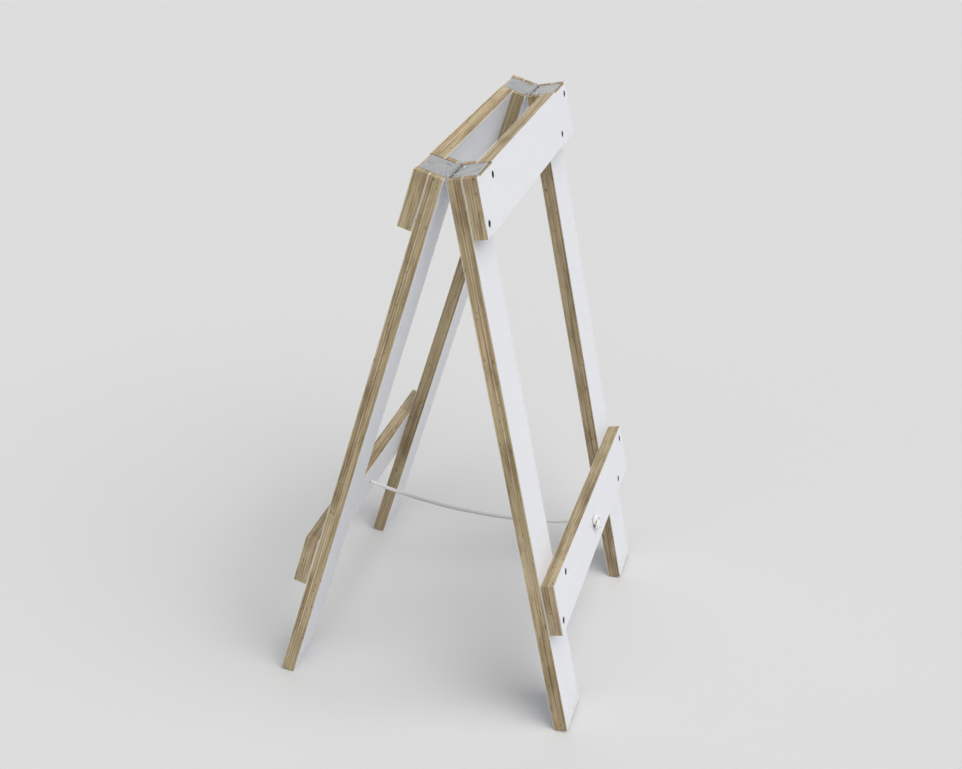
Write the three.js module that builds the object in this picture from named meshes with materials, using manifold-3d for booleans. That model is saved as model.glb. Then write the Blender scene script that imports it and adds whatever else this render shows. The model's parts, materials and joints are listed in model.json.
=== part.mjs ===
// Folding sawhorse: two plywood frames hinged along their top edges and tied by a cord.
//
// Millimetres, +Z up. X runs across the sawhorse, from frame A to frame B, and Y along its
// rails, from the near end to the far end. The origin is on the floor, under the hinges.
//
// Both frames are the same frame, turned half round about Z. Each is drawn upright in a frame
// of its own: the hinge axis runs along Y through its origin, +X points out of the board faces,
// and the boards hang down along -Z. Depths such as FOOT are measured down from the hinge axis.
// The frame then leans by LEAN about the hinge axis.

import * as THREE from "three";
import * as BufferGeometryUtils from "three/addons/utils/BufferGeometryUtils.js";
import Module from "manifold-3d";

const wasm = await Module();
wasm.setup();

// ---------------------------------------------------------------- driving dimensions

// Boards
const BOARD = 18;                // thickness of the laminated plywood
const LEG_WIDTH = 72;
const TOP_RAIL_WIDTH = 72;
const LOWER_RAIL_WIDTH = 72;
const LEG_LENGTH = 745;
const FRAME_LENGTH = 445;        // along the rails, over the legs
const LOWER_RAIL_DROP = 562;     // from the top edge down to the middle of the lower rail
const LEAN = THREE.MathUtils.degToRad(14);
const FRAME_GAP = 2;             // between the two frames when they are folded flat
const TOUCH_GAP = 0.3;           // between a piece and the piece that it seats on

// Hinges, let into the top edges
const HINGE_LENGTH = 50;
const HINGE_KNUCKLES = 5;
const KNUCKLE_GAP = 0.3;
const KNUCKLE_RADIUS = 3.2;
const PIN_RADIUS = 1.5;
const PIN_CLEARANCE = 0.25;
const PIN_HEAD_RADIUS = 2.6;
const PIN_HEAD_LENGTH = 0.8;
const LEAF_THICKNESS = 1.8;
const LEAF_MARGIN = 3;           // of the two boards, left bare beyond the leaf
const LEAF_CORNER_RADIUS = 3;
const LEAF_SINK = 0.2;           // of the leaf, below the top edges
const TONGUE_OVERLAP = 1;        // of a knuckle's tongue into the flat of its leaf
const RECESS_CLEARANCE = 1.5;    // at each end of the leaf, where the pin ends
const LEAF_HOLE_SPREAD = 28;     // between the two holes over the leg

// Screws
const JOINT_SCREW = { head: 4.3, shank: 2, countersink: 2.6, sides: 16 };
const HINGE_SCREW = { head: 3, shank: 1.4, countersink: 1.6, sides: 12 };
const HINGE_SCREW_LENGTH = 13;
const JOINT_SCREW_COVER = 4;     // of the leg, left whole beyond the screw's tip
const JOINT_SCREW_OFFSET = 22;   // of each screw from the middle of its joint, both ways
const SCREW_SINK = 0.3;          // of a joint screw's head, below the rail's face
const SCREW_CLEARANCE = 0.3;     // all round a screw, in its hole
const SCREW_TIP = 1.6;           // length of a screw's point, in shank radii
const HEAD_RELIEF = 1;           // how far a screw's hole is cut on above its head

// Cord
const CORD_DIAMETER = 5;
const CORD_HOLE_RADIUS = 4;
const CORD_STUB = 3;             // of the cord straight out of its hole, before it bends
const CORD_SIDES = 10;
const CORD_STEPS = 20;
// From the hole to the middle of the span: share of the half span, and how far it hangs down.
const CORD_SAG = [
  [1, 0], [0.86, 4.5], [0.71, 8.5], [0.57, 11.6],
  [0.43, 14], [0.29, 15.8], [0.14, 16.9], [0, 17.2],
];
const KNOT_HALF = [5, 10.5, 10.5];   // half sizes of the knot: out of the rail, along it, down it
const TAIL_LENGTH = 17;
const TAIL_SPREAD = THREE.MathUtils.degToRad(24);

// Facets of round shapes
const ROUND_SIDES = 16;
const KNUCKLE_SEGMENTS = 8;
const CORNER_SEGMENTS = 4;
const TAIL_END_RINGS = 3;

// ---------------------------------------------------------------- worked out from them

const LEAF_TOP = KNUCKLE_RADIUS - LEAF_THICKNESS;     // down from the hinge axis
const TOP_EDGE = LEAF_TOP - LEAF_SINK;
const RECESS_FLOOR = KNUCKLE_RADIUS + TOUCH_GAP;
const INNER_FACE = FRAME_GAP / 2;                     // of the legs, out from the hinge axis
const RAIL_INNER_FACE = INNER_FACE + BOARD + TOUCH_GAP;
const RAIL_OUTER_FACE = RAIL_INNER_FACE + BOARD;
const FOOT = TOP_EDGE + LEG_LENGTH;
const LEG_MIDDLE = (FRAME_LENGTH - LEG_WIDTH) / 2;    // of a leg, along the rails
const LOWER_RAIL_MIDDLE = TOP_EDGE + LOWER_RAIL_DROP;
const JOINT_SCREW_LENGTH = RAIL_OUTER_FACE - SCREW_SINK - INNER_FACE - JOINT_SCREW_COVER;
const CORD_TURN = RAIL_INNER_FACE - CORD_STUB;        // where the cord leaves its stub
const HINGE_HEIGHT = FOOT * Math.cos(LEAN) - INNER_FACE * Math.sin(LEAN);

const laminate = new THREE.MeshStandardMaterial({ color: 0xe4e6e8, roughness: 0.45, metalness: 0 });
const steel = new THREE.MeshStandardMaterial({ color: 0xb4b6b8, roughness: 0.35, metalness: 1 });
const blackSteel = new THREE.MeshStandardMaterial({ color: 0x1c1d1f, roughness: 0.5, metalness: 0.6 });
const cord = new THREE.MeshStandardMaterial({ color: 0xeff0f0, roughness: 0.85, metalness: 0 });

// ---------------------------------------------------------------- solids

// A closed three.js geometry as a manifold solid.
function solid(geometry) {
  const bare = new THREE.BufferGeometry();
  bare.setAttribute("position", geometry.getAttribute("position"));
  if (geometry.index) bare.setIndex(geometry.index);
  const merged = BufferGeometryUtils.mergeVertices(bare, 1e-4);
  const vertProperties = new Float32Array(merged.getAttribute("position").array);
  const triVerts = new Uint32Array(merged.index.array);
  return new wasm.Manifold(new wasm.Mesh({ numProp: 3, vertProperties, triVerts }));
}

// A manifold solid as a three.js geometry.
function geometryOf(body) {
  const mesh = body.getMesh();
  const geometry = new THREE.BufferGeometry();
  geometry.setAttribute("position", new THREE.BufferAttribute(mesh.vertProperties, 3));
  geometry.setIndex(new THREE.BufferAttribute(mesh.triVerts, 1));
  geometry.computeVertexNormals();
  return geometry;
}

// A profile of [radius, height] pairs turned about Y.
function lathe(profile, sides) {
  return new THREE.LatheGeometry(profile.map(([r, y]) => new THREE.Vector2(r, y)), sides);
}

// A shape drawn with its x along Y and its y along Z, extruded along +X from x.
function extrudeAcross(shape, x, depth) {
  const geometry = new THREE.ExtrudeGeometry(shape, { depth, bevelEnabled: false });
  const alongY = new THREE.Vector3(0, 1, 0);
  const alongZ = new THREE.Vector3(0, 0, 1);
  const alongX = new THREE.Vector3(1, 0, 0);
  geometry.applyMatrix4(new THREE.Matrix4().makeBasis(alongY, alongZ, alongX));
  geometry.translate(x, 0, 0);
  return geometry;
}

// A board from x outward, with a recess in its top edge over the middle of each listed leg.
function board(x, yLow, yHigh, top, bottom, recessesAt) {
  const half = HINGE_LENGTH / 2 + RECESS_CLEARANCE;
  const shape = new THREE.Shape();
  shape.moveTo(yLow, -bottom);
  shape.lineTo(yHigh, -bottom);
  shape.lineTo(yHigh, -top);
  for (const y of [...recessesAt].sort((a, b) => b - a)) {
    shape.lineTo(y + half, -top);
    shape.lineTo(y + half, -RECESS_FLOOR);
    shape.lineTo(y - half, -RECESS_FLOOR);
    shape.lineTo(y - half, -top);
  }
  shape.lineTo(yLow, -top);
  shape.closePath();
  return solid(extrudeAcross(shape, x, BOARD));
}

// A countersunk screw along -Z with its head's face at the origin, grown by a clearance.
function screwGeometry(screw, length, clearance) {
  const { head, shank, countersink, sides } = screw;
  const headTop = clearance > 0 ? HEAD_RELIEF : 0;
  const profile = [
    [0, -length - clearance],
    [shank + clearance, -length + shank * SCREW_TIP],
    [shank + clearance, -countersink - clearance],
    [head + clearance, -clearance],
    [head + clearance, headTop],
    [0, headTop],
  ];
  return lathe(profile, sides).rotateX(Math.PI / 2);
}

// The same screw standing where it is driven: into the rail's face, or down into a top edge.
function jointScrew(y, z, clearance) {
  const geometry = screwGeometry(JOINT_SCREW, JOINT_SCREW_LENGTH, clearance);
  return geometry.rotateY(Math.PI / 2).translate(RAIL_OUTER_FACE - SCREW_SINK, y, z);
}

function hingeScrew(x, y, clearance) {
  const geometry = screwGeometry(HINGE_SCREW, HINGE_SCREW_LENGTH, clearance);
  return geometry.translate(x, y, -LEAF_TOP - LEAF_SINK);
}

// ---------------------------------------------------------------- hinge

const LEAF_REACH = RAIL_OUTER_FACE - LEAF_MARGIN;
const LEAF_HOLES = [
  [INNER_FACE + BOARD / 2, -LEAF_HOLE_SPREAD / 2],
  [INNER_FACE + BOARD / 2, LEAF_HOLE_SPREAD / 2],
  [RAIL_INNER_FACE + BOARD / 2, 0],
];

// The flat of a leaf, with its two outer corners rounded.
function leafPlate(y) {
  const half = HINGE_LENGTH / 2;
  const radius = LEAF_CORNER_RADIUS;
  const cornerX = LEAF_REACH - radius;
  const plate = new THREE.Shape();
  plate.moveTo(KNUCKLE_RADIUS + TOUCH_GAP, -half);
  plate.lineTo(cornerX, -half);
  plate.absarc(cornerX, radius - half, radius, -Math.PI / 2, 0);
  plate.lineTo(LEAF_REACH, half - radius);
  plate.absarc(cornerX, half - radius, radius, 0, Math.PI / 2);
  plate.lineTo(KNUCKLE_RADIUS + TOUCH_GAP, half);
  plate.closePath();
  const settings = { depth: LEAF_THICKNESS, bevelEnabled: false, curveSegments: CORNER_SEGMENTS };
  return solid(new THREE.ExtrudeGeometry(plate, settings).translate(0, y, -KNUCKLE_RADIUS));
}

// One knuckle from low along Y, with the tongue that joins it to its leaf.
function leafKnuckle(low, depth) {
  const roll = new THREE.Shape();
  roll.absarc(0, 0, KNUCKLE_RADIUS, 0, 2 * Math.PI);
  const settings = { depth, bevelEnabled: false, curveSegments: KNUCKLE_SEGMENTS };
  const barrel = new THREE.ExtrudeGeometry(roll, settings).rotateX(-Math.PI / 2).translate(0, low, 0);
  const reach = KNUCKLE_RADIUS + TOUCH_GAP + TONGUE_OVERLAP;
  const tongue = new THREE.BoxGeometry(reach, depth, LEAF_THICKNESS);
  tongue.translate(reach / 2, low + depth / 2, LEAF_THICKNESS / 2 - KNUCKLE_RADIUS);
  return solid(barrel).add(solid(tongue));
}

// One hinge leaf with every second knuckle, from the first or from the second.
function hingeLeaf(y, firstKnuckle) {
  const pitch = (HINGE_LENGTH + KNUCKLE_GAP) / HINGE_KNUCKLES;
  let leaf = leafPlate(y);
  for (let i = firstKnuckle; i < HINGE_KNUCKLES; i += 2) {
    leaf = leaf.add(leafKnuckle(y - HINGE_LENGTH / 2 + i * pitch, pitch - KNUCKLE_GAP));
  }
  const bore = PIN_RADIUS + PIN_CLEARANCE;
  const pinHole = new THREE.CylinderGeometry(bore, bore, HINGE_LENGTH * 2, ROUND_SIDES);
  leaf = leaf.subtract(solid(pinHole.translate(0, y, 0)));
  for (const [x, dy] of LEAF_HOLES) {
    leaf = leaf.subtract(solid(hingeScrew(x, y + dy, SCREW_CLEARANCE)));
  }
  return leaf;
}

// The hinge pin, a rod with a small head at each end.
function hingePin(y) {
  const end = HINGE_LENGTH / 2 + KNUCKLE_GAP;
  const profile = [
    [0, -end - PIN_HEAD_LENGTH],
    [PIN_HEAD_RADIUS, -end - PIN_HEAD_LENGTH],
    [PIN_HEAD_RADIUS, -end],
    [PIN_RADIUS, -end],
    [PIN_RADIUS, end],
    [PIN_HEAD_RADIUS, end],
    [PIN_HEAD_RADIUS, end + PIN_HEAD_LENGTH],
    [0, end + PIN_HEAD_LENGTH],
  ];
  return lathe(profile, ROUND_SIDES).translate(0, y, 0);
}

// ---------------------------------------------------------------- cord

// The stopper knot outside a lower rail, with its two tails and the cord through the hole.
function stopperKnot() {
  const radius = CORD_DIAMETER / 2;
  const middle = RAIL_OUTER_FACE + TOUCH_GAP + KNOT_HALF[0];
  const throughHole = middle - CORD_TURN - TOUCH_GAP;
  const stub = new THREE.CylinderGeometry(radius, radius, throughHole, CORD_SIDES);
  stub.rotateZ(Math.PI / 2).translate(middle - throughHole / 2, 0, -LOWER_RAIL_MIDDLE);
  const lump = new THREE.SphereGeometry(1, ROUND_SIDES, CORD_SIDES).scale(...KNOT_HALF);
  lump.translate(middle, 0, -LOWER_RAIL_MIDDLE);
  let knot = solid(stub).add(solid(lump));
  for (const side of [-1, 1]) {
    const straight = TAIL_LENGTH - CORD_DIAMETER;
    const tail = new THREE.CapsuleGeometry(radius, straight, TAIL_END_RINGS, CORD_SIDES);
    tail.translate(0, TAIL_LENGTH / 2, 0).rotateX(side * (Math.PI / 2 - TAIL_SPREAD));
    knot = knot.add(solid(tail.translate(middle, 0, -LOWER_RAIL_MIDDLE)));
  }
  return knot;
}

// Where the cord turns out of its stub on frame B, when the sawhorse is open.
function cordTurn() {
  const x = CORD_TURN * Math.cos(LEAN) + LOWER_RAIL_MIDDLE * Math.sin(LEAN);
  const z = HINGE_HEIGHT + CORD_TURN * Math.sin(LEAN) - LOWER_RAIL_MIDDLE * Math.cos(LEAN);
  return [x, z];
}

// Half the cord, from its turn on one frame to the middle of the span, along +X or -X.
function cordHalf(side) {
  const [halfSpan, height] = cordTurn();
  const points = CORD_SAG.map(([share, drop]) => {
    const x = Math.max(share * halfSpan, TOUCH_GAP / 2);
    return new THREE.Vector3(side * x, 0, height - drop);
  });
  const section = new THREE.Shape();
  section.absarc(0, 0, CORD_DIAMETER / 2, 0, 2 * Math.PI);
  const path = new THREE.CatmullRomCurve3(points);
  return new THREE.ExtrudeGeometry(section, {
    extrudePath: path, steps: CORD_STEPS, bevelEnabled: false, curveSegments: CORD_SIDES,
  });
}

// ---------------------------------------------------------------- one frame

function addPiece(group, name, geometry, material) {
  const mesh = new THREE.Mesh(geometry, material);
  mesh.name = name;
  group.add(mesh);
}

// The frame called side, "a" or "b", whose own -Y end is the one called lowEnd.
function makeFrame(side, lowEnd, highEnd, firstKnuckle, withPins) {
  const frame = new THREE.Group();
  const ends = [[lowEnd, -LEG_MIDDLE], [highEnd, LEG_MIDDLE]];
  const topMiddle = TOP_EDGE + TOP_RAIL_WIDTH / 2;
  const half = FRAME_LENGTH / 2;

  const legMiddles = ends.map(([, y]) => y);
  const topBottom = TOP_EDGE + TOP_RAIL_WIDTH;
  let topRail = board(RAIL_INNER_FACE, -half, half, TOP_EDGE, topBottom, legMiddles);
  const lowerTop = LOWER_RAIL_MIDDLE - LOWER_RAIL_WIDTH / 2;
  const lowerBottom = lowerTop + LOWER_RAIL_WIDTH;
  let lowerRail = board(RAIL_INNER_FACE, -half, half, lowerTop, lowerBottom, []);

  for (const [end, middle] of ends) {
    const [low, high] = [middle - LEG_WIDTH / 2, middle + LEG_WIDTH / 2];
    let leg = board(INNER_FACE, low, high, TOP_EDGE, FOOT, [middle]);
    for (const [rail, z] of [["top", -topMiddle], ["lower", -LOWER_RAIL_MIDDLE]]) {
      for (const [place, sign] of [["high", 1], ["low", -1]]) {
        const at = [middle + sign * JOINT_SCREW_OFFSET, z + sign * JOINT_SCREW_OFFSET];
        const hole = solid(jointScrew(...at, SCREW_CLEARANCE));
        leg = leg.subtract(hole);
        if (rail === "top") topRail = topRail.subtract(hole);
        else lowerRail = lowerRail.subtract(hole);
        const name = `screw_${rail}_${side}_${end}_${place}`;
        addPiece(frame, name, jointScrew(...at, 0), blackSteel);
      }
    }
    LEAF_HOLES.forEach(([x, dy], i) => {
      const hole = solid(hingeScrew(x, middle + dy, SCREW_CLEARANCE));
      leg = leg.subtract(hole);
      topRail = topRail.subtract(hole);
      const name = `hinge_screw_${side}_${end}_${i + 1}`;
      addPiece(frame, name, hingeScrew(x, middle + dy, 0), steel);
    });
    addPiece(frame, `leg_${side}_${end}`, geometryOf(leg), laminate);
    addPiece(frame, `hinge_leaf_${side}_${end}`, geometryOf(hingeLeaf(middle, firstKnuckle)), steel);
    if (withPins) addPiece(frame, `hinge_pin_${end}`, hingePin(middle), steel);
  }

  const hole = CORD_HOLE_RADIUS;
  const bore = new THREE.CylinderGeometry(hole, hole, 4 * BOARD, ROUND_SIDES);
  bore.rotateZ(Math.PI / 2).translate(RAIL_INNER_FACE, 0, -LOWER_RAIL_MIDDLE);
  lowerRail = lowerRail.subtract(solid(bore));
  addPiece(frame, `top_rail_${side}`, geometryOf(topRail), laminate);
  addPiece(frame, `lower_rail_${side}`, geometryOf(lowerRail), laminate);
  addPiece(frame, `cord_knot_${side}`, geometryOf(stopperKnot()), cord);
  return frame;
}

// ---------------------------------------------------------------- the sawhorse

const sawhorse = new THREE.Group();

const frameB = makeFrame("b", "near", "far", 1, false);
frameB.rotation.y = -LEAN;
const frameA = makeFrame("a", "far", "near", 0, true);
frameA.rotation.y = -LEAN;
const turned = new THREE.Group();
turned.rotation.z = Math.PI;
turned.add(frameA);

const hinged = new THREE.Group();
hinged.position.z = HINGE_HEIGHT;
hinged.add(frameB, turned);
sawhorse.add(hinged);

addPiece(sawhorse, "cord_half_a", cordHalf(-1), cord);
addPiece(sawhorse, "cord_half_b", cordHalf(1), cord);

export default sawhorse;
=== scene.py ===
import json
import math

import bmesh
import bpy
from mathutils import Euler, Matrix, Vector


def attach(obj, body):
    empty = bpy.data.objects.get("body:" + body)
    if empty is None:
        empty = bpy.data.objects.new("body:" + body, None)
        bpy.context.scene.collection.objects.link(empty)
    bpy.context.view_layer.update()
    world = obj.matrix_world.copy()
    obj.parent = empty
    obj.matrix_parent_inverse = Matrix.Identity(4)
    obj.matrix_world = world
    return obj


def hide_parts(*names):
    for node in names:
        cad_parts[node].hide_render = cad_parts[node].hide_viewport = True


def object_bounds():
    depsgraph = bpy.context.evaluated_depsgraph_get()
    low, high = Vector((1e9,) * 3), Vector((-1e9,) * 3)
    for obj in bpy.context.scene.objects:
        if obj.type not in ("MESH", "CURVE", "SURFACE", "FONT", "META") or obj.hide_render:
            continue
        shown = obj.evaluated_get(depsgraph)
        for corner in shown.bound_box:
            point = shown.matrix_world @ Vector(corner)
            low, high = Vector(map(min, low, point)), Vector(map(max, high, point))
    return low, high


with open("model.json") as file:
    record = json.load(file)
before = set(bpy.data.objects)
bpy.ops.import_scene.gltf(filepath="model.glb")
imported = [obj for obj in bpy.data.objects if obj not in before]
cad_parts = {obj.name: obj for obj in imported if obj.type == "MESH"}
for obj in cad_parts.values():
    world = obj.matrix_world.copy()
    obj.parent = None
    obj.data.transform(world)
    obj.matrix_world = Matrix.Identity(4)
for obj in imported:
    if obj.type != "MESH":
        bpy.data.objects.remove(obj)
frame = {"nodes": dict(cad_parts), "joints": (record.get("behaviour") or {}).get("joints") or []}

# A folding sawhorse: two frames of white laminated birch plywood, hinged along their top
# edges, with a cord between their lower rails. Lengths are metres unless a comment says mm.

CAD_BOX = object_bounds()
NODES = frame["nodes"]
JOINTS = {joint["name"]: joint for joint in frame["joints"]}
HINGE = Vector(JOINTS["fold"]["pos_m"])
SIDES = {"a": math.pi, "b": 0.0}   # how far each frame is turned about Z
ENDS = ("near", "far")
RAILS = ("top_rail", "lower_rail")
MM = 0.001

LEAN = math.radians(14)
BOARD = 18 * MM
LAMINATE = 0.35 * MM
CORE_PLIES = 11
ARRIS = 0.4 * MM
HINGE_ARRIS = 0.18 * MM
FOOT_DEPTH = 746           # mm from the hinge axis down a leg to its end
SCUFF_HEIGHT = 34          # mm up from there to where floors no longer scuff it

HINGE_SCREW = (1.4 * MM, 1.6 * MM)   # the shank's radius, and how deep the head's cone is
JOINT_SCREW = (2 * MM, 2.6 * MM)

CORD_RADIUS = 2.5 * MM
CORD_STEP = 0.4 * MM       # between the stations of its swept tube
YARN_RADIUS = 1.55 * MM
YARN_STEP = 0.35 * MM
# From the hole to the middle of the span: share of the half span, and how far it hangs down.
CORD_SAG = (
    (1, 0), (0.86, 4.5 * MM), (0.71, 8.5 * MM), (0.57, 11.6 * MM),
    (0.43, 14 * MM), (0.29, 15.8 * MM), (0.14, 16.9 * MM), (0, 17.2 * MM),
)


# ---------------------------------------------------------------- places

# Each frame's own space: the hinge axis along Y, +X out of its boards, -Z down its legs.
OWN_TURN = {side: Euler((0, -LEAN, turn)) for side, turn in SIDES.items()}
OWN_SPACE = {
    side: Matrix.Translation(HINGE) @ turn.to_matrix().to_4x4()
    for side, turn in OWN_TURN.items()
}


def own_box(node, side):
    """The lowest and highest corner of a node in its frame's own space."""
    inverse = OWN_SPACE[side].inverted()
    points = [inverse @ vertex.co for vertex in NODES[node].data.vertices]
    low = Vector([min(point[axis] for point in points) for axis in range(3)])
    high = Vector([max(point[axis] for point in points) for axis in range(3)])
    return low, high


# ---------------------------------------------------------------- material hands

def start_material(name):
    material = bpy.data.materials.new(name)
    material.use_nodes = True
    return material, material.node_tree, material.node_tree.nodes["Principled BSDF"]


def put(tree, kind, inputs=None, **settings):
    """A new node, with its settings made and its inputs set or linked."""
    node = tree.nodes.new(kind)
    for name, value in settings.items():
        setattr(node, name, value)
    for socket, value in (inputs or {}).items():
        if isinstance(value, bpy.types.NodeSocket):
            tree.links.new(value, node.inputs[socket])
        else:
            node.inputs[socket].default_value = value
    return node


def calc(tree, operation, *values):
    inputs = dict(enumerate(values))
    return put(tree, "ShaderNodeMath", inputs, operation=operation).outputs[0]


def blend(tree, share, low, high):
    return put(tree, "ShaderNodeMix", {0: share, 2: low, 3: high}).outputs[0]


def blend_colors(tree, share, low, high, kind="MIX"):
    inputs = {0: share, 6: low, 7: high}
    node = put(tree, "ShaderNodeMix", inputs, data_type="RGBA", blend_type=kind)
    return node.outputs[2]


def tint(tree, share, color, multiplier):
    """The colour multiplied by another, by a share that may vary over the surface."""
    return blend_colors(tree, share, color, multiplier, "MULTIPLY")


def ramp(tree, value, low, high, start=0.0, end=1.0):
    """value from low..high taken to start..end, and held there."""
    inputs = {0: value, 1: low, 2: high, 3: start, 4: end}
    return put(tree, "ShaderNodeMapRange", inputs).outputs[0]


def grain(tree, place, stretch, detail=3.0, roughness=0.55, seed=0.0):
    """Noise on a place stretched axis by axis, from 0 to 1. Each seed moves it elsewhere."""
    inputs = {"Location": (seed * 37.0, seed * 53.0, seed * 71.0), "Scale": stretch}
    moved = put(tree, "ShaderNodeMapping", {**inputs, "Vector": place}).outputs[0]
    inputs = {"Vector": moved, "Scale": 1.0, "Detail": detail, "Roughness": roughness}
    return put(tree, "ShaderNodeTexNoise", inputs).outputs["Fac"]


def raise_bump(tree, height, distance, strength=1.0):
    inputs = {"Height": height, "Distance": distance, "Strength": strength}
    return put(tree, "ShaderNodeBump", inputs).outputs["Normal"]


def wire(tree, shader, **inputs):
    """Sets or links the shader's inputs, named with _ for each space."""
    for name, value in inputs.items():
        socket = shader.inputs[name.replace("_", " ")]
        if isinstance(value, bpy.types.NodeSocket):
            tree.links.new(value, socket)
        else:
            socket.default_value = value


# ---------------------------------------------------------------- board finish

# A tone over the core of each kind of board: near and far legs, and the rails. The far legs'
# darker tone is painted shade; the lower rails are a little darker and greyer.
CORE_TONES_AND_PAINTED_SHADE = {
    "near": (1.0, 1.0, 1.0, 1), "far": (0.80, 0.79, 0.77, 1),
    "top_rail": (1.0, 1.0, 1.0, 1), "lower_rail": (0.90, 0.91, 0.92, 1),
}


def board_place(tree, side, inner_face):
    """A place in millimetres from a board's inner face: X through it, Y along the rails, Z up."""
    corner = OWN_SPACE[side] @ Vector((inner_face, 0, 0))
    where = put(tree, "ShaderNodeTexCoord").outputs["Object"]
    inputs = {"Vector": where, "Location": corner, "Rotation": OWN_TURN[side], "Scale": (MM,) * 3}
    return put(tree, "ShaderNodeMapping", inputs, vector_type="TEXTURE").outputs[0]


def core_plies(tree, place, depth, seed):
    """A ply's number, whether it is a crossed one (0 or 1), and how far through it a place is."""
    waviness = 0.9
    wave = grain(tree, place, (0.01, 0.018, 0.018), 2.0, 0.5, seed)
    from_core = calc(tree, "ADD", depth, -waviness / 2 - LAMINATE / MM)
    wavy = calc(tree, "MULTIPLY_ADD", wave, waviness, from_core)
    ply_thickness = (BOARD - 2 * LAMINATE) / CORE_PLIES / MM
    count = calc(tree, "DIVIDE", wavy, ply_thickness)
    ply = calc(tree, "FLOOR", count)
    crossed = calc(tree, "MODULO", calc(tree, "ABSOLUTE", ply), 2.0)
    return ply, crossed, calc(tree, "FRACT", count)


def ply_fibres(tree, laid, crossed, along, seed):
    """Long fibres one way in every second ply, and the other way in the rest."""
    straight, across = (2.2, 2.2, 0.045), (2.2, 0.045, 2.2)
    if along == "y":
        straight, across = across, straight
    fibres_straight = grain(tree, laid, straight, 4.0, 0.6, seed)
    fibres_across = grain(tree, laid, across, 4.0, 0.6, seed + 0.4)
    return blend(tree, crossed, fibres_straight, fibres_across)


def veneer_color(tree, place, of_ply, crossed, fibres, along, seed):
    """The wood of each ply, and the changes of veneer that drift along the board."""
    pale, tan, brown = (0.62, 0.52, 0.345, 1), (0.48, 0.385, 0.235, 1), (0.28, 0.21, 0.12, 1)
    tone = blend_colors(tree, of_ply, pale, tan)
    end_grain = calc(tree, "MULTIPLY", crossed, ramp(tree, of_ply, 0.0, 1.0, 0.25, 0.8))
    tone = blend_colors(tree, end_grain, tone, brown)
    tone = blend_colors(tree, ramp(tree, fibres, 0.42, 0.72, 0.0, 0.55), tone, brown)

    drift = (0.30, 0.016, 0.007) if along == "z" else (0.30, 0.007, 0.016)
    bands = grain(tree, place, drift, 2.0, 0.55, seed + 5.2)
    tone = tint(tree, ramp(tree, bands, 0.50, 0.66, 0.0, 0.75), tone, (0.60, 0.55, 0.48, 1))
    pale_band = ramp(tree, bands, 0.47, 0.36, 0.0, 0.45)
    tone = blend_colors(tree, pale_band, tone, (0.64, 0.54, 0.38, 1))

    warmth = grain(tree, place, (0.22, 0.02, 0.02), 2.0, 0.5, seed + 6.4)
    reddish = ramp(tree, warmth, 0.52, 0.66, 0.0, 0.65)
    tone = tint(tree, reddish, tone, (1.0, 0.80, 0.70, 1))
    olive = ramp(tree, warmth, 0.47, 0.36, 0.0, 0.6)
    return tint(tree, olive, tone, (0.93, 0.95, 0.76, 1))


def laminate_color(tree, place, rub, seed):
    """White, very slightly mottled, rubbed in places, and scuffed grey at the feet."""
    mottle = grain(tree, place, (0.05, 0.05, 0.05), 4.0, 0.6, seed + 2.3)
    white = blend_colors(tree, mottle, (0.743, 0.755, 0.795, 1), (0.783, 0.795, 0.834, 1))
    white = blend_colors(tree, rub, white, (0.42, 0.41, 0.40, 1))
    up_leg = put(tree, "ShaderNodeSeparateXYZ", {0: place}).outputs["Z"]
    foot = ramp(tree, up_leg, -FOOT_DEPTH, SCUFF_HEIGHT - FOOT_DEPTH, 1.0, 0.0)
    scuffs = grain(tree, place, (0.2, 0.12, 0.2), 4.0, 0.7, seed + 4.0)
    worn = calc(tree, "MULTIPLY", foot, ramp(tree, scuffs, 0.45, 0.75, 0.0, 0.5))
    return blend_colors(tree, worn, white, (0.36, 0.35, 0.33, 1))


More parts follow.
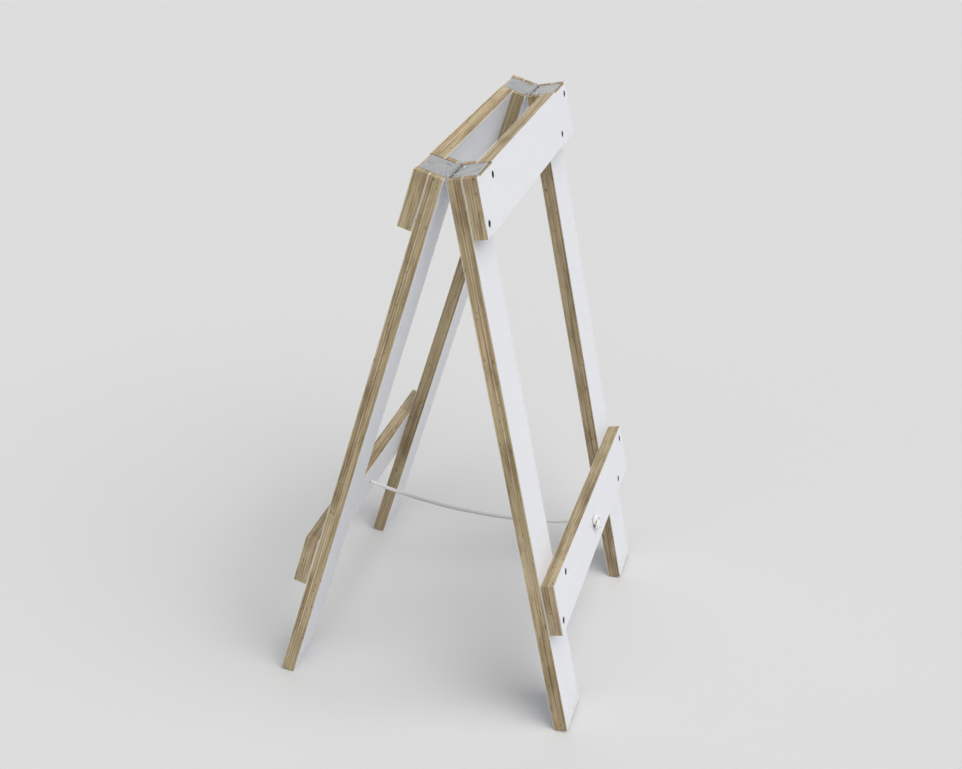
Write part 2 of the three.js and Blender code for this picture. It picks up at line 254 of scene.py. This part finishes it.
def laminated_plywood(name, side, inner_face, along, seed, core_tone_and_painted_shade):
    """White laminate on both faces of a core of crossed birch plies, cut through everywhere.

    The pattern fills the board, so the plies show on every edge and end and in every hole.
    along is the board's long axis.
    """
    material, tree, shader = start_material(name)
    place = board_place(tree, side, inner_face)
    depth = put(tree, "ShaderNodeSeparateXYZ", {0: place}).outputs["X"]

    ply, crossed, within = core_plies(tree, place, depth, seed)
    own_number = calc(tree, "ADD", ply, seed * 13.7)
    of_ply = put(
        tree, "ShaderNodeTexWhiteNoise", {"W": own_number}, noise_dimensions="1D"
    ).outputs["Value"]
    shift = put(tree, "ShaderNodeCombineXYZ", {0: calc(tree, "MULTIPLY", ply, 7.3)}).outputs[0]
    laid = put(tree, "ShaderNodeVectorMath", {0: place, 1: shift}).outputs[0]
    fibres = ply_fibres(tree, laid, crossed, along, seed)
    tone = veneer_color(tree, place, of_ply, crossed, fibres, along, seed)
    # Painted shade: the far legs' plies are darkened by their tone.
    tone = tint(tree, 1.0, tone, core_tone_and_painted_shade)

    # Patches where the saw has browned it, or the wood itself is greyer and more olive.
    patches = grain(tree, place, (0.05, 0.014, 0.014), 3.0, 0.6, seed + 0.9)
    tone = tint(tree, ramp(tree, patches, 0.48, 0.7, 0.0, 0.8), tone, (0.52, 0.47, 0.38, 1))

    # Short voids and knots along single plies, and a thin glue line between plies.
    knots = grain(tree, laid, (0.5, 0.11, 0.11), 1.0, 0.5, seed + 1.7)
    void = ramp(tree, knots, 0.70, 0.74)
    tone = blend_colors(tree, calc(tree, "MULTIPLY", void, 0.85), tone, (0.06, 0.04, 0.025, 1))
    from_middle = calc(tree, "ABSOLUTE", calc(tree, "SUBTRACT", within, 0.5))
    glue = ramp(tree, from_middle, 0.40, 0.47)
    tone = blend_colors(tree, calc(tree, "MULTIPLY", glue, 0.4), tone, (0.16, 0.105, 0.06, 1))

    # The laminate begins past a thin dark seam, at one depth under either face.
    off_centre = calc(tree, "ABSOLUTE", calc(tree, "SUBTRACT", depth, BOARD / MM / 2))
    half_core = (BOARD / 2 - LAMINATE) / MM
    is_laminate = calc(tree, "GREATER_THAN", off_centre, half_core)
    seam = ramp(tree, off_centre, half_core - 0.25, half_core - 0.05)
    tone = blend_colors(tree, calc(tree, "MULTIPLY", seam, 0.5), tone, (0.10, 0.07, 0.05, 1))
    rub_marks = (0.3, 0.35, 0.02) if along == "z" else (0.3, 0.02, 0.35)
    rub = ramp(tree, grain(tree, place, rub_marks, 2.0, 0.7, seed + 3.1), 0.69, 0.78, 0.0, 0.16)
    white = laminate_color(tree, place, rub, seed)
    color = blend_colors(tree, is_laminate, tone, white)

    peel = grain(tree, place, (0.5, 0.5, 0.5), 2.0, 0.5, seed)
    smooth = calc(tree, "MULTIPLY_ADD", rub, 0.8, ramp(tree, peel, 0.3, 0.7, 0.34, 0.42))
    rough = ramp(tree, fibres, 0.3, 0.8, 0.62, 0.85)
    carved = calc(tree, "MULTIPLY_ADD", glue, -0.5, calc(tree, "MULTIPLY", fibres, 0.6))
    carved = calc(tree, "MULTIPLY_ADD", void, -1.5, carved)
    height = blend(tree, is_laminate, carved, calc(tree, "MULTIPLY", peel, 0.12))
    wire(
        tree, shader, Base_Color=color, Roughness=blend(tree, is_laminate, rough, smooth),
        Normal=raise_bump(tree, height, 0.12 * MM, 0.8), Specular_IOR_Level=0.45,
    )
    return material


def dress_board(node, side, along, seed, core_tone_and_painted_shade):
    """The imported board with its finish, its arrises eased by a very small round."""
    board = NODES[node]
    inner_face = own_box(node, side)[0].x
    finish = laminated_plywood(f"plywood_{node}", side, inner_face, along, seed, core_tone_and_painted_shade)
    board.data.materials.clear()
    board.data.materials.append(finish)
    weld = board.modifiers.new("one_skin", "WELD")
    weld.merge_threshold = 0.02 * MM
    flat = board.modifiers.new("flat_faces", "DECIMATE")
    flat.decimate_type = "DISSOLVE"
    flat.angle_limit = math.radians(1)
    ease = board.modifiers.new("eased_arrises", "BEVEL")
    ease.width = ARRIS
    ease.segments = 2
    ease.limit_method = "ANGLE"
    ease.angle_limit = math.radians(60)


# ---------------------------------------------------------------- metal finishes

def black_phosphate():
    """Satin black, speckled a little brighter, for the screws of the joints."""
    material, tree, shader = start_material("black_phosphate")
    where = put(tree, "ShaderNodeTexCoord").outputs["Object"]
    speckle = grain(tree, where, (2600, 2600, 2600), 3.0, 0.6)
    rubbed = ramp(tree, speckle, 0.35, 0.75)
    color = blend_colors(tree, rubbed, (0.013, 0.013, 0.015, 1), (0.06, 0.06, 0.065, 1))
    roughness = ramp(tree, speckle, 0.3, 0.7, 0.38, 0.6)
    wire(
        tree, shader, Base_Color=color, Roughness=roughness, Metallic=0.6,
        Normal=raise_bump(tree, speckle, 0.02 * MM),
    )
    return material


def zinc_plate():
    """Bright zinc: drawn lines along the plate, cloudy patches and slightly uneven gloss."""
    material, tree, shader = start_material("zinc_plate")
    where = put(tree, "ShaderNodeTexCoord").outputs["Object"]
    lines = grain(tree, where, (5200, 260, 5200), 3.0, 0.6)
    clouds = grain(tree, where, (160, 160, 160), 3.0, 0.6, 1.3)
    color = blend_colors(tree, clouds, (0.50, 0.51, 0.52, 1), (0.72, 0.73, 0.73, 1))
    color = blend_colors(tree, ramp(tree, lines, 0.3, 0.7, 0.0, 0.3), color, (0.42, 0.42, 0.43, 1))
    line_gloss = ramp(tree, lines, 0.3, 0.7, 0.24, 0.36)
    roughness = calc(tree, "ADD", line_gloss, ramp(tree, clouds, 0.4, 0.7, 0.0, 0.12))
    wire(
        tree, shader, Base_Color=color, Roughness=roughness, Metallic=1.0,
        Normal=raise_bump(tree, lines, 0.015 * MM),
    )
    return material


def braided_polyester():
    """White braid, with painted shade in the grooves of the relief that the mesh carries, and over
    the middle of its span.
    """
    material, tree, shader = start_material("braided_polyester")
    relief = put(tree, "ShaderNodeAttribute", attribute_name="braid_relief").outputs["Fac"]
    along = put(tree, "ShaderNodeUVMap", uv_map="along_cord").outputs[0]
    fibres = grain(tree, along, (90, 26, 1), 3.0, 0.6)
    where = put(tree, "ShaderNodeTexCoord").outputs["Object"]
    soil = grain(tree, where, (55, 55, 55), 3.0, 0.6, 0.7)
    # Painted shade: the grooves between the standing strands are darkened by the relief.
    painted_groove_shade_mask = ramp(tree, relief, 0.0, 0.65)
    color = blend_colors(tree, painted_groove_shade_mask, (0.50, 0.495, 0.48, 1), (0.84, 0.84, 0.83, 1))
    loose = ramp(tree, fibres, 0.35, 0.75, 0.0, 0.35)
    color = blend_colors(tree, loose, color, (0.70, 0.70, 0.69, 1))
    soiled = ramp(tree, soil, 0.5, 0.75, 0.0, 0.2)
    color = blend_colors(tree, soiled, color, (0.62, 0.60, 0.56, 1))
    # Painted shade: the cord is darkened towards the middle of its span, greyest there.
    across = calc(tree, "ABSOLUTE", put(tree, "ShaderNodeSeparateXYZ", {0: where}).outputs["X"])
    painted_mid_span_shade = ramp(tree, across, 0.145, 0.085, 0.0, 0.8)
    color = tint(tree, painted_mid_span_shade, color, (0.50, 0.495, 0.49, 1))
    wire(
        tree, shader, Base_Color=color, Roughness=0.82, Specular_IOR_Level=0.3,
        Normal=raise_bump(tree, fibres, 0.08 * MM), Sheen_Weight=0.25, Sheen_Roughness=0.5,
    )
    return material


# ---------------------------------------------------------------- new pieces

ALL_SMOOTH = 180   # no edge is sharper than this


def edges_of(vertices):
    """Every edge of the vertices once, in the same order each run."""
    return list(dict.fromkeys(edge for vertex in vertices for edge in vertex.link_edges))


def finish_piece(name, bm, material, body, replaced, smooth_below):
    """The bmesh as a named piece on a body, in place of the CAD node replaced.

    Its faces are smooth except over edges sharper than smooth_below degrees.
    """
    bmesh.ops.recalc_face_normals(bm, faces=bm.faces)
    mesh = bpy.data.meshes.new(name)
    bm.to_mesh(mesh)
    bm.free()
    mesh.polygons.foreach_set("use_smooth", [True] * len(mesh.polygons))
    mesh.set_sharp_from_angle(angle=math.radians(smooth_below))
    mesh.materials.append(material)
    piece = bpy.data.objects.new(name, mesh)
    bpy.context.scene.collection.objects.link(piece)
    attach(piece, body)
    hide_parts(replaced)
    return piece


def turn_down(bm, edges, rings):
    """Draws a loop of edges through (radius, z) rings about the Z axis."""
    for radius, z in rings:
        grown = bmesh.ops.extrude_edge_only(bm, edges=edges)["geom"]
        ring = [part for part in grown if isinstance(part, bmesh.types.BMVert)]
        edges = [part for part in grown if isinstance(part, bmesh.types.BMEdge)]
        for vertex in ring:
            flat = Vector((vertex.co.x, vertex.co.y, 0)).normalized() * radius
            vertex.co = Vector((flat.x, flat.y, z))
    return edges


def countersunk_screw(head, shank, cone, length):
    """A flat-headed screw along -Z with a cross recess, its face at the origin.

    head and shank are radii, and cone is how far down the head tapers to the shank.
    """
    bm = bmesh.new()
    half_slot, reach, recess_depth = 0.16 * head, 0.36 * head, 0.42 * head
    bmesh.ops.create_circle(
        bm, cap_ends=True, segments=4, radius=half_slot * math.sqrt(2),
        matrix=Matrix.Rotation(math.radians(45), 4, "Z"),
    )
    for edge in list(bm.edges):
        outward = (edge.verts[0].co + edge.verts[1].co).normalized() * reach
        arm = bmesh.ops.extrude_edge_only(bm, edges=[edge])["geom"]
        tips = [part for part in arm if isinstance(part, bmesh.types.BMVert)]
        bmesh.ops.translate(bm, verts=tips, vec=outward)
    cross = list(bm.faces)
    outline = [edge for edge in bm.edges if len(edge.link_faces) == 1]
    rim = bmesh.ops.create_circle(bm, segments=40, radius=head * 0.97)["verts"]
    rim_edges = edges_of(rim)
    bmesh.ops.triangle_fill(bm, use_beauty=True, use_dissolve=False, edges=outline + rim_edges)
    inside = bmesh.ops.extrude_face_region(bm, geom=cross)["geom"]
    floor = [part for part in inside if isinstance(part, bmesh.types.BMVert)]
    bmesh.ops.scale(bm, verts=floor, vec=(0.62, 0.62, 1))
    bmesh.ops.translate(bm, verts=floor, vec=(0, 0, -recess_depth))
    tip = 1.6 * shank
    rings = (
        (head, -0.03 * head), (head, -0.07 * head), (shank * 1.1, -cone), (shank, -cone * 1.3),
        (shank, tip - length), (0.25 * shank, -length),
    )
    last = turn_down(bm, rim_edges, rings)
    bmesh.ops.holes_fill(bm, edges=last, sides=0)
    return bm


def drive_screws(black, zinc):
    """Every screw in its hole, each stopped at its own turn of the cross."""
    out_of_face = Matrix.Rotation(math.radians(90), 4, "Y")
    for number, node in enumerate(sorted(NODES)):
        if "screw" not in node:
            continue
        side = "a" if "_a_" in node else "b"
        low, high = own_box(node, side)
        middle = (low + high) / 2
        turn = Matrix.Rotation(math.radians(47 * number % 90), 4, "Z")
        if node.startswith("hinge_screw"):
            bm = countersunk_screw((high.x - low.x) / 2, *HINGE_SCREW, high.z - low.z)
            place = Matrix.Translation((middle.x, middle.y, high.z)) @ turn
            material, slot = zinc, "zinc_steel"
        else:
            bm = countersunk_screw((high.y - low.y) / 2, *JOINT_SCREW, high.x - low.x)
            place = Matrix.Translation((high.x, middle.y, middle.z)) @ out_of_face @ turn
            material, slot = black, "black_screw"
        bmesh.ops.transform(bm, matrix=OWN_SPACE[side] @ place, verts=bm.verts)
        finish_piece(f"driven_{node}", bm, material, f"frame_{side}", node, smooth_below=32)


def dress_hinge(node, body, material):
    """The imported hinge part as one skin, its edges rounded over and its curves smooth."""
    bm = bmesh.new()
    bm.from_mesh(NODES[node].data)
    bmesh.ops.remove_doubles(bm, verts=bm.verts, dist=0.01 * MM)
    bmesh.ops.dissolve_limit(bm, angle_limit=math.radians(1), verts=bm.verts, edges=bm.edges)
    corners = [
        edge for edge in bm.edges
        if len(edge.link_faces) == 2 and edge.calc_face_angle() > math.radians(50)
    ]
    bmesh.ops.bevel(
        bm, geom=corners, offset=HINGE_ARRIS, segments=2, profile=0.5, affect="EDGES",
        material=-1, clamp_overlap=True,
    )
    bmesh.ops.triangulate(bm, faces=[face for face in bm.faces if len(face.verts) > 4])
    finish_piece(f"plated_{node}", bm, material, body, node, smooth_below=35)


# ---------------------------------------------------------------- cord

def smooth_route(points, step):
    """A Catmull-Rom curve through the points, as stations a step apart."""
    parts = 24
    ends = [2 * points[0] - points[1], *points, 2 * points[-1] - points[-2]]
    fine = []
    for before, start, end, after in zip(ends, ends[1:], ends[2:], ends[3:]):
        for part in range(parts):
            t = part / parts
            fine.append(0.5 * (
                2 * start + (end - before) * t
                + (2 * before - 5 * start + 4 * end - after) * t * t
                + (3 * start - before - 3 * end + after) * t * t * t
            ))
    fine.append(points[-1])
    lengths = [0.0]
    for start, end in zip(fine, fine[1:]):
        lengths.append(lengths[-1] + (end - start).length)
    count = max(2, round(lengths[-1] / step))
    stations, at = [], 0
    for number in range(count + 1):
        wanted = lengths[-1] * number / count
        while at < len(fine) - 2 and lengths[at + 1] < wanted:
            at += 1
        share = (wanted - lengths[at]) / max(lengths[at + 1] - lengths[at], 1e-9)
        stations.append(fine[at].lerp(fine[at + 1], min(share, 1.0)))
    return stations


def braid_height(turn, along):
    """How far a braided sheath stands up at a place on the cord, from 0 to 1."""
    carriers, pitch = 6, 4.6 * MM
    one_way = math.cos(carriers * turn + math.tau * along / pitch)
    other_way = math.cos(carriers * turn - math.tau * along / pitch)
    return 0.5 + 0.25 * (one_way + other_way)


def laid_height(turn, along):
    """The same for a loose end, which is a bundle of yarns twisted one way."""
    return 0.5 + 0.5 * math.cos(4 * turn + math.tau * along / (9 * MM))


def next_ring(bm, edges, turns):
    """Extrudes an open end of a tube. turns says how far round it each vertex is."""
    grown = bmesh.ops.extrude_edge_only(bm, edges=edges)["geom"]
    new_edges = [part for part in grown if isinstance(part, bmesh.types.BMEdge)]
    new_turns = {}
    for vertex in grown:
        if isinstance(vertex, bmesh.types.BMVert):
            for edge in vertex.link_edges:
                below = edge.other_vert(vertex)
                if below in turns:
                    new_turns[vertex] = turns[below]
    return new_edges, new_turns


def draw_cord(bm, route, radius, height=braid_height, spokes=30, relief=0.11, bluntness=1.0):
    """Draws a tube of cord along a route, with its relief in the surface and its ends rounded.

    relief is how deep the grooves are, as a share of the radius, and bluntness is the length of
    the rounding at each end over the radius.
    """
    layers = bm.verts.layers.float
    relief_layer = layers.get("braid_relief") or layers.new("braid_relief")
    uv_layer = bm.loops.layers.uv.get("along_cord") or bm.loops.layers.uv.new("along_cord")
    step = (route[1] - route[0]).length
    total = step * (len(route) - 1)
    spare = 0.06 * radius   # so that the ring at each end doesn't shrink to a point
    normal = (route[1] - route[0]).normalized().orthogonal().normalized()
    ring = bmesh.ops.create_circle(bm, segments=spokes, radius=radius)["verts"]
    turns = {vertex: math.atan2(vertex.co.y, vertex.co.x) for vertex in ring}
    first_edges = edges = edges_of(ring)
    marks = {}
    for number, centre in enumerate(route):
        if number > 0:
            edges, turns = next_ring(bm, edges, turns)
        before, after = route[max(number - 1, 0)], route[min(number + 1, len(route) - 1)]
        tangent = (after - before).normalized()
        normal = (normal - tangent * normal.dot(tangent)).normalized()
        binormal = tangent.cross(normal)
        along = number * step
        from_end = (min(along, total - along) + spare) / (bluntness * radius)
        taper = math.sqrt(1 - (1 - min(from_end, 1)) ** 2)
        for vertex, turn in turns.items():
            lift = height(turn, along)
            out = normal * math.cos(turn) + binormal * math.sin(turn)
            vertex.co = centre + out * radius * taper * (1 - relief * (1 - lift))
            vertex[relief_layer] = lift
            marks[vertex] = (turn % math.tau / math.tau, along / (10 * MM))
    bmesh.ops.holes_fill(bm, edges=first_edges, sides=0)
    bmesh.ops.holes_fill(bm, edges=edges, sides=0)
    for face in {face for vertex in marks for face in vertex.link_faces}:
        around = [marks[loop.vert][0] for loop in face.loops]
        crosses_seam = max(around) - min(around) > 0.5
        for loop in face.loops:
            u, v = marks[loop.vert]
            loop[uv_layer].uv = (u + 1 if crosses_seam and u < 0.5 else u, v)


def hang_cord(material, knots):
    """Each half of the cord, from its hole to the middle of the span."""
    for side in SIDES:
        turn_point = Vector(JOINTS[f"cord_{side}_swing"]["pos_m"])
        points = [
            Vector((turn_point.x * share, 0, turn_point.z - drop)) for share, drop in CORD_SAG
        ]
        inward = (points[1] - points[0]).normalized()
        start = points[0] - inward * CORD_RADIUS
        route = smooth_route([start, *points[1:]], CORD_STEP)
        bm = bmesh.new()
        draw_cord(bm, route, CORD_RADIUS)
        span = finish_piece(
            f"cord_span_{side}", bm, material, f"cord_{side}",
            f"cord_half_{side}", smooth_below=ALL_SMOOTH,
        )


def overhand_route(hole_depth):
    """An overhand knot on the cord, out of a hole at the origin along +Z, in millimetres.

    It is a trefoil, opened where the cord comes in from the hole and where its end goes out:
    the cord runs twice round a ring, and swings in and out of it and over and under itself.
    """
    middle = Vector((-2, 0, 5.2))
    ring, lobe, lift = 6.2, 2.7, 2.7
    start, end, steps = 0.95, math.tau - 0.2, 22
    knot = []
    for number in range(steps):
        t = start + (end - start) * number / (steps - 1)
        reach = ring + lobe * math.cos(3 * t)
        turn = 2 * t - 0.65
        knot.append(middle + Vector((
            reach * math.cos(turn), reach * math.sin(turn), -lift * math.sin(3 * t)
        )))
    through = [Vector((0, 0, z)) for z in (-hole_depth, -14, -7, -2)]
    last = (knot[-1] - knot[-2]).normalized()
    return through + knot + [knot[-1] + last * 3, knot[-1] + last * 5.5]


def yarn_route(end, forward, across):
    """A yarn of the unlaid end of the cord, in millimetres, which leaves it to one side."""
    root = end - forward * 2.5 + across * 0.9
    mouth = root + forward * 2.5 + across * 1.2
    bend = mouth + forward * 3.6 + across * 3.2 + Vector((0, 0, -1.6))
    tip = bend + forward * 4.6 + across * 3.4 + Vector((0, 0, -2.2))
    return [root, mouth, bend, tip]


def tie_knots(material):
    """The stopper knot outside each lower rail, with its end unlaid into two yarns."""
    knots = {}
    for side in SIDES:
        low, high = own_box(f"lower_rail_{side}", side)
        turn_point = OWN_SPACE[side].inverted() @ Vector(JOINTS[f"cord_{side}_swing"]["pos_m"])
        seat = Vector((high.x, 0, (low.z + high.z) / 2))
        depth = (high.x - turn_point.x) / MM + CORD_RADIUS / MM
        route = overhand_route(depth)
        forward = (route[-1] - route[-2]).normalized()
        level = math.atan2(forward.y, forward.x)
        # Along the rail, up it and out of it, with the loose end lying along the rail.
        lie = Matrix(((0, 0, 1, 0), (1, 0, 0, 0), (0, 1, 0, 0), (0, 0, 0, 1)))
        space = (
            OWN_SPACE[side] @ Matrix.Translation(seat) @ lie
            @ Matrix.Rotation(-level, 4, "Z") @ Matrix.Scale(MM, 4)
        )
        bm = bmesh.new()
        stations = smooth_route([space @ point for point in route], CORD_STEP)
        draw_cord(bm, stations, CORD_RADIUS)
        for sign in (-1, 1):
            across = Vector((-forward.y, forward.x, 0)) * sign
            yarn = yarn_route(route[-1], forward, across)
            loose = smooth_route([space @ point for point in yarn], YARN_STEP)
            draw_cord(bm, loose, YARN_RADIUS, laid_height, spokes=20, relief=0.16, bluntness=0.8)
        knots[side] = finish_piece(
            f"stopper_knot_{side}", bm, material, f"frame_{side}",
            f"cord_knot_{side}", smooth_below=ALL_SMOOTH,
        )
    return knots


# ---------------------------------------------------------------- the sawhorse

def dress_boards():
    """Every board, each with a seed of its own."""
    boards = []
    for side in SIDES:
        boards += [(f"leg_{side}_{end}", side, "z", CORE_TONES_AND_PAINTED_SHADE[end]) for end in ENDS]
        boards += [(f"{rail}_{side}", side, "y", CORE_TONES_AND_PAINTED_SHADE[rail]) for rail in RAILS]
    for seed, (node, side, along, core_tone_and_painted_shade) in enumerate(boards, 1):
        dress_board(node, side, along, seed, core_tone_and_painted_shade)


def build_sawhorse():
    dress_boards()
    black, zinc, braid = black_phosphate(), zinc_plate(), braided_polyester()
    drive_screws(black, zinc)
    for end in ENDS:
        dress_hinge(f"hinge_pin_{end}", "frame_a", zinc)
        for side in SIDES:
            dress_hinge(f"hinge_leaf_{side}_{end}", f"frame_{side}", zinc)
    hang_cord(braid, tie_knots(braid))


# ---------------------------------------------------------------- studio

FLOOR_RADIUS = 30
BACKDROP_HEIGHT = 12
CAMERA_AZIMUTH, CAMERA_ELEVATION, CAMERA_ROLL = 13.96, 26.76, 3.5
CAMERA_DISTANCE = 1.9218


def direction(azimuth, elevation):
    """The way to look from the object, in degrees: azimuth 0 is -Y, and 90 is +X."""
    azimuth, elevation = math.radians(azimuth), math.radians(elevation)
    level = math.cos(elevation)
    return Vector((
        math.sin(azimuth) * level, -math.cos(azimuth) * level, math.sin(elevation)
    ))


def place_camera():
    """The camera, aimed at the middle of the object and rolled a little."""
    lens = bpy.data.cameras.new("camera")
    lens.sensor_width = 36
    lens.lens = 53.3
    camera = bpy.data.objects.new("camera", lens)
    low, high = (Vector(corner) for corner in CAD_BOX)
    back = direction(CAMERA_AZIMUTH, CAMERA_ELEVATION)
    camera.location = (low + high) / 2 + back * CAMERA_DISTANCE
    level = (-back).to_track_quat("-Z", "Y").to_matrix().to_4x4()
    roll = Matrix.Rotation(math.radians(CAMERA_ROLL), 4, "Z")
    camera.rotation_euler = (level @ roll).to_euler()
    bpy.context.scene.collection.objects.link(camera)
    bpy.context.scene.camera = camera


def stage_object(name, bm, material):
    mesh = bpy.data.meshes.new(name)
    bm.to_mesh(mesh)
    bm.free()
    mesh.materials.append(material)
    thing = bpy.data.objects.new(name, mesh)
    bpy.context.scene.collection.objects.link(thing)
    return thing


def pale_floor():
    material, tree, shader = start_material("pale_floor")
    where = put(tree, "ShaderNodeTexCoord").outputs["Object"]
    cloud = grain(tree, where, (0.7, 0.7, 0.7), 2.0, 0.5)
    color = blend_colors(tree, cloud, (0.618, 0.62, 0.624, 1), (0.632, 0.634, 0.638, 1))
    wire(tree, shader, Base_Color=color, Roughness=0.9, Specular_IOR_Level=0.15)
    bm = bmesh.new()
    bmesh.ops.create_circle(bm, cap_ends=True, segments=96, radius=FLOOR_RADIUS)
    stage_object("studio_floor", bm, material)


def pale_backdrop():
    """A low pale ring round the edge of the floor, seen but shedding no light."""
    material, tree, shader = start_material("pale_backdrop")
    wire(
        tree, shader, Base_Color=(0, 0, 0, 1), Specular_IOR_Level=0.0,
        Emission_Color=(0.72, 0.72, 0.72, 1), Emission_Strength=1.0,
    )
    bm = bmesh.new()
    foot = bmesh.ops.create_circle(bm, segments=96, radius=FLOOR_RADIUS - 0.1)["verts"]
    bmesh.ops.translate(bm, verts=foot, vec=(0, 0, -0.05))
    raised = bmesh.ops.extrude_edge_only(bm, edges=edges_of(foot))["geom"]
    top = [part for part in raised if isinstance(part, bmesh.types.BMVert)]
    bmesh.ops.translate(bm, verts=top, vec=(0, 0, BACKDROP_HEIGHT))
    backdrop = stage_object("studio_backdrop", bm, material)
    backdrop.visible_diffuse = backdrop.visible_shadow = False


def broad_sun(name, strength, azimuth, elevation, softness, color=(1, 1, 1)):
    """A big soft source far away, so that the floor is lit evenly out to its edge."""
    lamp = bpy.data.lights.new(name, "SUN")
    lamp.energy = strength
    lamp.angle = math.radians(softness)
    lamp.color = color
    stand = bpy.data.objects.new(name, lamp)
    toward = direction(azimuth, elevation)
    stand.rotation_euler = (-toward).to_track_quat("-Z", "Y").to_euler()
    bpy.context.scene.collection.objects.link(stand)


def light_studio():
    world = bpy.data.worlds.new("studio_air")
    world.use_nodes = True
    air = world.node_tree.nodes["Background"]
    air.inputs["Color"].default_value = (0.98, 0.99, 1.0, 1)
    air.inputs["Strength"].default_value = 0.36
    scene = bpy.context.scene
    scene.world = world
    scene.view_settings.view_transform = "Standard"
    broad_sun("soft_key", 2.45, azimuth=62, elevation=60, softness=55, color=(1.0, 0.99, 0.975))
    broad_sun("soft_front", 0.46, azimuth=-8, elevation=24, softness=70)
    broad_sun("soft_back", 0.34, azimuth=212, elevation=34, softness=70)


place_camera()
build_sawhorse()
pale_floor()
pale_backdrop()
light_studio()
